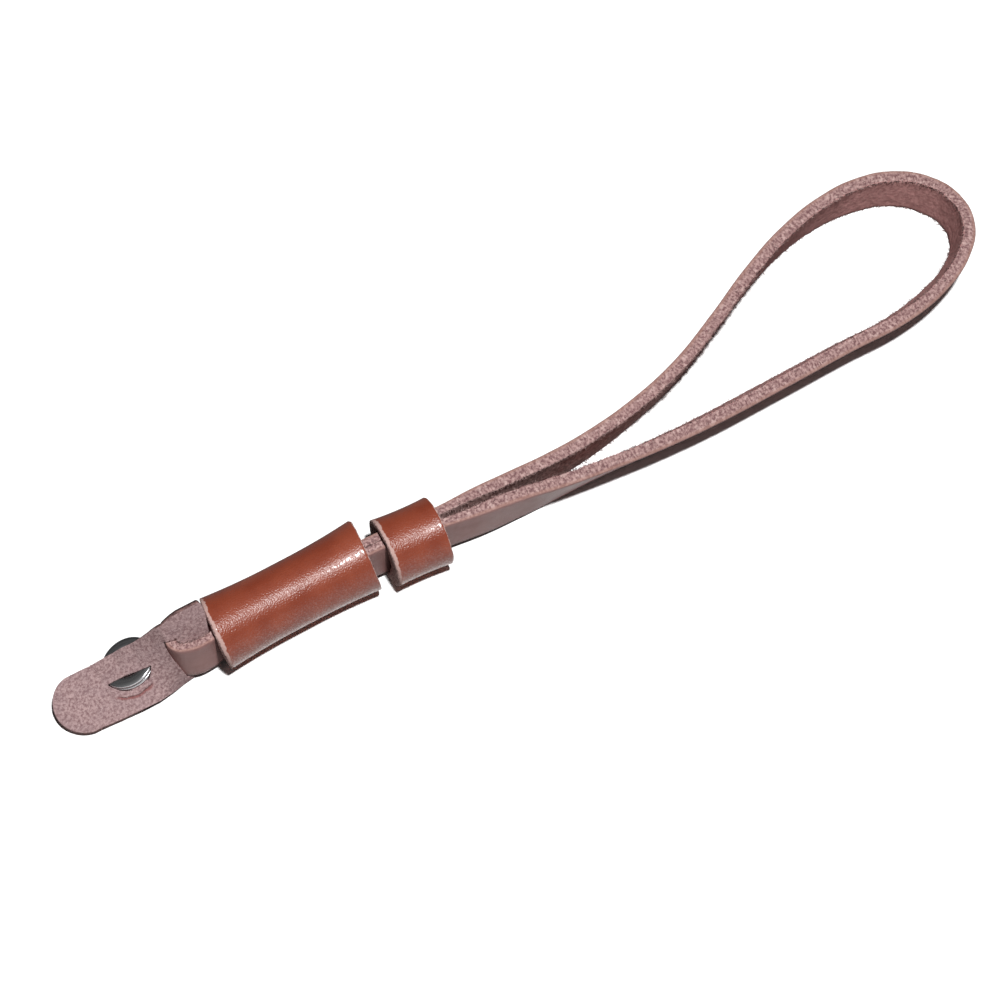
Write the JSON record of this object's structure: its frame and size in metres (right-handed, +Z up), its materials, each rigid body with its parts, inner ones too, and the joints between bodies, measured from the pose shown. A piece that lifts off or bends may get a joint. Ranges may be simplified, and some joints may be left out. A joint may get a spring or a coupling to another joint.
{
  "type": "camera wrist strap",
  "caption": "Leather camera wrist strap with a rolled grip sleeve, a sliding keeper, a lug tab and a split ring, lying on its side.",
  "frame": {"origin": "centre of the bounding box's base, on the table the strap lies on", "axes": "+X along the grip sleeve from the lug tab towards the wrist loop, +Z up from the table"},
  "size_m": [0.245, 0.0412, 0.0184],
  "materials": {
    "strip_hide": "matt grain face, fibrous flesh face and cut edges",
    "polished_hide": "polished grain",
    "flesh_hide": "flesh side out, fibrous",
    "ring_steel": "polished"
  },
  "bodies": {
    "strap": {"wrist_strip": "strip_hide", "grip_sleeve": "polished_hide", "lug_tab": "flesh_hide"},
    "keeper": {"sliding_keeper": "polished_hide"},
    "ring": {"split_ring": "ring_steel"}
  },
  "joints": [
    {"name": "keeper_slide", "type": "slide", "parent": "strap", "child": "keeper", "axis": [0.9962, -0.0872, 0], "range_m": [-0.003, 0.0015]},
    {"name": "ring_spin", "type": "hinge", "parent": "strap", "child": "ring", "pos_m": [-0.10316, -0.00197, 0.0042], "axis": [-0.2686, 0.225, 0.9366], "continuous": true}
  ]
}
